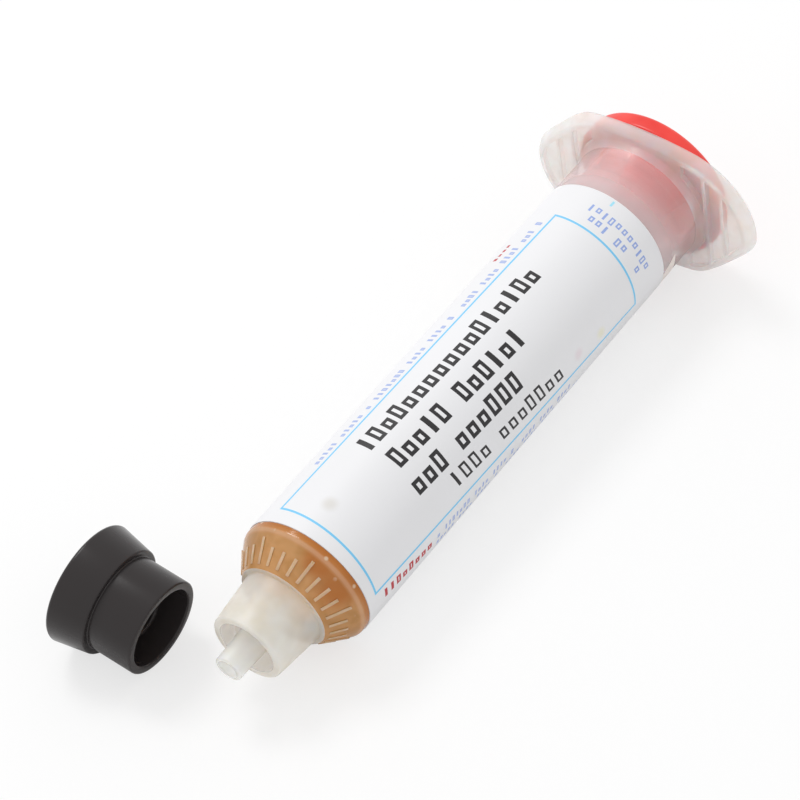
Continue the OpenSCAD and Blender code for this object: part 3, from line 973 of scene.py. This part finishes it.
def makeFilling(name, inner, outer, floor):
    s = fluxSizes
    length = fluxRear(outer) - floor
    # The wall is divided, so that its faces aren't too long
    profile = [(inner, floor), (outer, floor)] + [(outer, floor + length * t) for t in (1 / 3, 2 / 3, 1)]
    if inner < s["noseRadius"] < outer:
        profile.append((s["noseRadius"], fluxRear(s["noseRadius"])))
    profile.append((inner, fluxRear(inner)))
    piece = turnProfile(name, profile, s["sides"], closed=inner > 0)
    finishPiece(piece, ontoAxis, "syringe", "flux_fill", [fluxPaste])
    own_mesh(piece)


steps = fluxSteps()
makeLining(steps)
for i, step in enumerate(steps):
    makeFilling("flux_ring_%d" % i if i else "flux_core", *step)

# Wiper piston, hollow from behind, with a lip at each end
pistonSizes = {
    "front": 66.15,
    "back": 74.65,
    "radius": 7.91,
    "noseRadius": 3.0,
    "noseLength": 3.2,
    "noseEdge": [(-0.3, 0.0), (0.0, 0.2)],
    "frontEdge": [(-0.1, -0.06), (0.0, 0.06)],
    "lip": 1.2,
    "waist": 0.55,
    "waistEdge": [(0.08, -0.08), (0.0, 0.1)],
    "backEdge": [(0.0, -0.12), (-0.12, 0.0)],
    "wall": 1.3,
    "wallEdge": [(0.1, 0.0), (0.0, -0.1)],
    "crown": 1.8,
    "sides": 160,
}


def makePiston():
    s = pistonSizes
    front, back, radius, waist = s["front"], s["back"], s["radius"], s["radius"] - s["waist"]
    tip = front - s["noseLength"]
    step = s["lip"] + s["waist"]
    profile = [(0, tip)] + shifted((s["noseRadius"], tip), s["noseEdge"])
    profile += shifted((radius, front), s["frontEdge"]) + [(radius, front + s["lip"])]
    profile += shifted((waist, front + step), s["waistEdge"])
    profile += [(waist + out, back - step - on) for out, on in reversed(s["waistEdge"])]
    profile += [(radius, back - s["lip"])] + shifted((radius, back), s["backEdge"])
    profile += shifted((radius - s["wall"], back), s["wallEdge"])
    profile += [(waist - s["wall"], front + 2 * s["wall"])]
    profile += [(s["noseRadius"], tip + s["crown"]), (0, tip + s["crown"])]
    return turnProfile("wiper_piston", profile, s["sides"])


finishPiece(makePiston(), ontoAxis, "wiper", "piston", [whitePolyethylene])

# End plug: a dished head on a hollow skirt with three sealing beads. An edge is the small steps at one corner
plugSizes = {
    "seat": 92.15,
    "head": 2.6,
    "headRadius": 11.2,
    "frontRound": 0.4,
    "rearRound": 0.8,
    "rim": 2.0,
    "rimRound": 0.15,
    "dish": 0.5,
    "dishEdge": [(0.12, 0.1), (-0.15, 0.0)],
    "floor": 0.6,
    "floorEdge": [(-0.6, 0.0), (-0.2, -0.36), (0.0, -0.66)],
    "skirtEnd": 81.15,
    "skirtRadius": 7.61,
    "skirtEdge": [(0.0, -0.15), (0.12, 0.0)],
    "wall": 1.4,
    "wallEdge": [(0.0, 0.15), (0.15, 0.0)],
    "lead": 1.2,
    "leadDepth": 0.4,
    "leadEdge": [(-0.1, 0.0), (0.0, 0.1)],
    "leadTop": (-0.02, -0.1),
    "beads": 3,
    "beadStart": 2.2,
    "beadStep": 2.6667,
    "bead": [(0.0, -0.3), (0.26, -0.06), (0.3, 0.08), (0.3, 0.52), (0.26, 0.66), (0.0, 0.9)],
    "sides": 192,
}


def makePlug():
    s = plugSizes
    top, end, skirt = s["seat"] + s["head"], s["skirtEnd"], s["skirtRadius"]
    inside = skirt - s["wall"]
    dish = (s["headRadius"] - s["rim"] - s["dish"], top - s["dish"])
    profile = [(0, s["seat"] - s["floor"])] + shifted((inside, s["seat"] - s["floor"]), s["floorEdge"])
    profile += shifted((inside, end), s["wallEdge"]) + shifted((skirt - s["leadDepth"], end), s["leadEdge"])
    profile += shifted((skirt, end + s["lead"]), [s["leadTop"]])
    for i in range(s["beads"]):
        profile += shifted((skirt, end + s["beadStart"] + i * s["beadStep"]), s["bead"])
    profile += shifted((skirt, s["seat"]), s["skirtEdge"])
    r = s["frontRound"]
    profile += arc((s["headRadius"] - r, s["seat"] + r), r, 270, 360, 5)
    r = s["rearRound"]
    profile += arc((s["headRadius"] - r, top - r), r, 0, 90, 8)
    r = s["rimRound"]
    profile += arc((s["headRadius"] - s["rim"] + r, top - r), r, 90, 135, 3)
    profile += shifted(dish, s["dishEdge"]) + [(0, dish[1])]
    return turnProfile("red_end_plug", profile, s["sides"])


finishPiece(makePlug(), ontoAxis, "plug", "end_plug", [redPolyethylene])

# Tip cap, drawn along +Z from its closed end. It lies beside the nozzle with its mouth towards the camera
capSizes = {
    "endRadius": 8.25,
    "round": 0.5,
    "stepRadius": 7.4,
    "grip": 5.35,
    "gripEdge": [(0.1, 0.0), (0.0, 0.1)],
    "skirt": 6.55,
    "length": 11.9,
    "mouth": 0.25,
    "bore": 5.4,
    "floor": 1.3,
    "floorEdge": 0.2,
    "socket": 2.9,
    "socketEnd": 9.3,
    "socketEdge": [(0.0, -0.15), (-0.15, 0.0)],
    "socketMouth": 2.1,
    "socketMouthEdge": [(0.1, 0.0), (0.0, -0.1)],
    "socketRoot": 2.0,
    "sides": 192,
    "place": (1.8, 24.3),
    "heading": -89.1,
}


def makeCap():
    s = capSizes
    length, floor, edge = s["length"], s["floor"], s["floorEdge"]
    r = s["round"]
    profile = [(0, 0)] + arc((s["endRadius"] - r, r), r, 270, 360, 8)
    r = s["mouth"]
    profile += arc((s["stepRadius"] - r, s["grip"] - r), r, 0, 90, 5)
    profile += shifted((s["skirt"], s["grip"]), s["gripEdge"])
    profile += arc((s["skirt"] - r, length - r), r, 0, 90, 5)
    profile += arc((s["bore"] + r, length - r), r, 90, 180, 4)
    profile += [(s["bore"], floor + edge), (s["bore"] - edge, floor)]
    profile += [(s["socket"] + edge, floor), (s["socket"], floor + edge)]
    profile += shifted((s["socket"], s["socketEnd"]), s["socketEdge"])
    profile += shifted((s["socketMouth"], s["socketEnd"]), s["socketMouthEdge"])
    profile += [(s["socketRoot"], floor), (0, floor)]
    return turnProfile("black_tip_cap", profile, s["sides"])


def capLie():
    # The cap lies on its two rims, so its axis dips towards its mouth
    s = capSizes
    rise = s["endRadius"] - s["round"] - (s["skirt"] - s["mouth"])
    run = s["length"] - s["mouth"] - s["round"]
    dip = math.atan2(rise, run) + math.asin((s["round"] - s["mouth"]) / math.hypot(rise, run))
    ground = cadBounds[0][2] / mm
    height = ground + (s["endRadius"] - s["round"]) * math.cos(dip) + s["round"] * (1 + math.sin(dip))
    heading = Matrix.Rotation(math.radians(s["heading"]), 4, "Z")
    lean = Matrix.Rotation(math.radians(90) + dip, 4, "Y")
    return Matrix.Translation(Vector((*s["place"], height)) * mm) @ heading @ lean


finishPiece(makeCap(), capLie(), "cap", "tip_cap", [blackPolypropylene])

# Table: a plain pale sheet of matt paper. The camera sees two thirds of it as plain white, which keeps
# the shadow faint
tableSizes = {"size": 3.0, "middle": 0.04, "below": 0.00001, "veil": 0.68}
tablePaper, tree, shader = newMaterial("Matt paper", {"Base Color": linear("F2F2F2"), "Roughness": 0.7})
seen = addNode(tree, "ShaderNodeLightPath").outputs["Is Camera Ray"]
veil = addNode(tree, mathNode, {"operation": "MULTIPLY", 0: seen, 1: tableSizes["veil"]})
white = addNode(tree, "ShaderNodeEmission", {"Color": (1, 1, 1, 1), "Strength": 1.0})
shown = addNode(tree, "ShaderNodeMixShader", {0: veil, 1: shader.outputs[0], 2: white}).outputs[0]
tree.links.new(shown, tree.nodes["Material Output"].inputs["Surface"])
bpy.ops.object.select_all(action="DESELECT")
ground = (tableSizes["middle"], 0, cadBounds[0][2] - tableSizes["below"])
bpy.ops.mesh.primitive_plane_add(size=tableSizes["size"], location=ground)
table = bpy.context.object
table.name = "table"
table.data.materials.append(tablePaper)

# Light: a pale room that the camera, gloss and clear plastic see as white, and one large soft lamp
# above, on the side away from the camera
lightSettings = {"room": 0.8, "place": (0.15, 0.34, 0.6), "aim": (0.03, 0.01, 0), "size": 0.24, "power": 1.8}


def addRoom():
    world = bpy.data.worlds.new("white room")
    bpy.context.scene.world = world
    world.use_nodes = True
    tree = world.node_tree
    tree.nodes.clear()
    path = addNode(tree, "ShaderNodeLightPath").outputs
    seen = path["Is Camera Ray"]
    for ray in ("Is Glossy Ray", "Is Transmission Ray"):
        seen = addNode(tree, mathNode, {"operation": "MAXIMUM", 0: seen, 1: path[ray]})
    room, white = (
        addNode(tree, "ShaderNodeBackground", {"Color": (1, 1, 1, 1), "Strength": strength})
        for strength in (lightSettings["room"], 1.0)
    )
    choice = addNode(tree, "ShaderNodeMixShader", {0: seen, 1: room, 2: white})
    addNode(tree, "ShaderNodeOutputWorld", {0: choice})


def addLamp():
    s = lightSettings
    light = bpy.data.lights.new("overhead", "AREA")
    light.shape = "SQUARE"
    light.size = s["size"]
    light.energy = s["power"]
    lamp = bpy.data.objects.new("overhead", light)
    lamp.location = s["place"]
    lamp.rotation_euler = (Vector(s["aim"]) - Vector(s["place"])).to_track_quat("-Z", "Y").to_euler()
    bpy.context.scene.collection.objects.link(lamp)


# Camera, as fitted to the photo. Its target and distance are in millimetres
cameraSettings = {
    "azimuth": -46.488,
    "elevation": 47.523,
    "roll": -9.564,
    "target": (36.933, -0.693, 13.722),
    "distance": 420.0,
    "lens": 153.555,
    "sensor": 36,
    "nearest": 0.01,
}


def addCamera():
    s = cameraSettings
    a, e, roll = (math.radians(s[k]) for k in ("azimuth", "elevation", "roll"))
    back = Vector((math.sin(a) * math.cos(e), -math.cos(a) * math.cos(e), math.sin(e)))
    level = Vector((math.cos(a), math.sin(a), 0))
    right = math.cos(roll) * level + math.sin(roll) * back.cross(level)
    turn = Matrix((right, back.cross(right), back)).transposed().to_4x4()
    data = bpy.data.cameras.new("camera")
    data.lens = s["lens"]
    data.sensor_width = s["sensor"]
    data.clip_start = s["nearest"]
    camera = bpy.data.objects.new("camera", data)
    camera.matrix_world = Matrix.Translation((Vector(s["target"]) + s["distance"] * back) * mm) @ turn
    bpy.context.scene.collection.objects.link(camera)
    bpy.context.scene.camera = camera


addRoom()
addLamp()
addCamera()
bpy.context.scene.view_settings.view_transform = "Standard"
print("stage, light and camera made")
